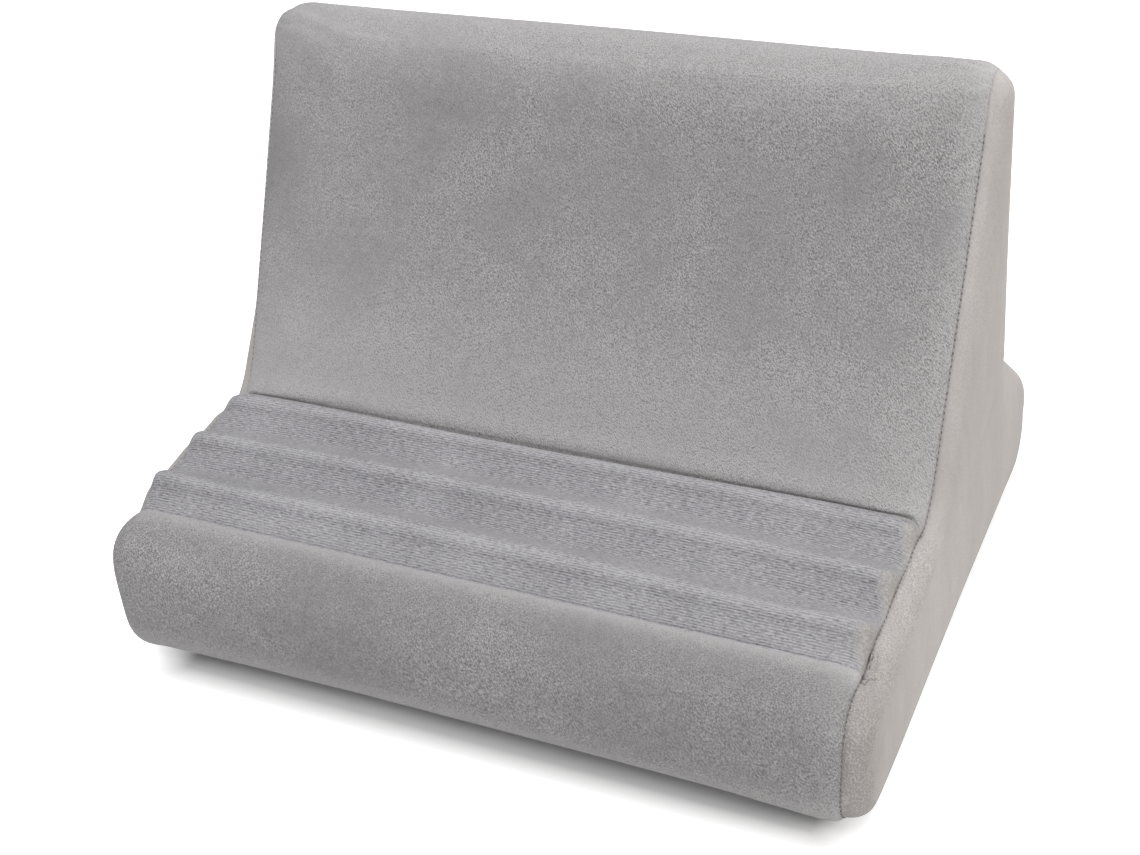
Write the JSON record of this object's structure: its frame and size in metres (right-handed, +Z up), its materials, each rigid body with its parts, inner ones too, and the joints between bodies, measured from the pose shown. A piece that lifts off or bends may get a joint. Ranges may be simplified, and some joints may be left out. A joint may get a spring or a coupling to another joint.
{
  "type": "tablet cushion stand",
  "caption": "Soft foam-filled stand that props a tablet against a sloping padded backrest on a ridged anti-slip ledge, with a zipped sewn cover.",
  "frame": {"origin": "on the ground under the middle of the cushion's bounding box", "axes": "+X along the width towards the end on the right when the backrest faces you, +Y from the front roll to the tail, +Z up"},
  "size_m": [0.303, 0.2636, 0.2105],
  "materials": {
    "foam": "open-cell cushion foam",
    "plush": "short-pile grey plush, brushed in soft patches",
    "end_plush": "smooth light grey plush",
    "ribbed_knit": "fine ribbed anti-slip knit",
    "zip_tape": "woven tape",
    "zip_nylon": "moulded nylon",
    "zip_alloy": "satin grey"
  },
  "bodies": {
    "cushion": {"foam_core": "foam", "backrest_panel": "plush", "base_panel": "plush", "ledge_panel": "ribbed_knit", "left_end_panel": "end_plush", "right_end_panel": "end_plush", "zip_tape_upper": "zip_tape", "zip_tape_lower": "zip_tape", "zip_teeth_upper": "zip_nylon", "zip_teeth_lower": "zip_nylon", "zip_top_stop_upper": "zip_alloy", "zip_top_stop_lower": "zip_alloy", "zip_bottom_stop": "zip_alloy"},
    "slider": {"zip_slider": "zip_alloy"},
    "pull": {"zip_pull": "zip_alloy"}
  },
  "joints": [
    {"name": "zip_travel", "type": "slide", "parent": "cushion", "child": "slider", "axis": [-1, 0, 0], "range_m": [0, 0.2124]},
    {"name": "pull_swing", "type": "hinge", "parent": "slider", "child": "pull", "pos_m": [0.1062, 0.0787, 0.0891], "axis": [0, -0.5196, 0.8544], "range_deg": [0, 180]}
  ]
}
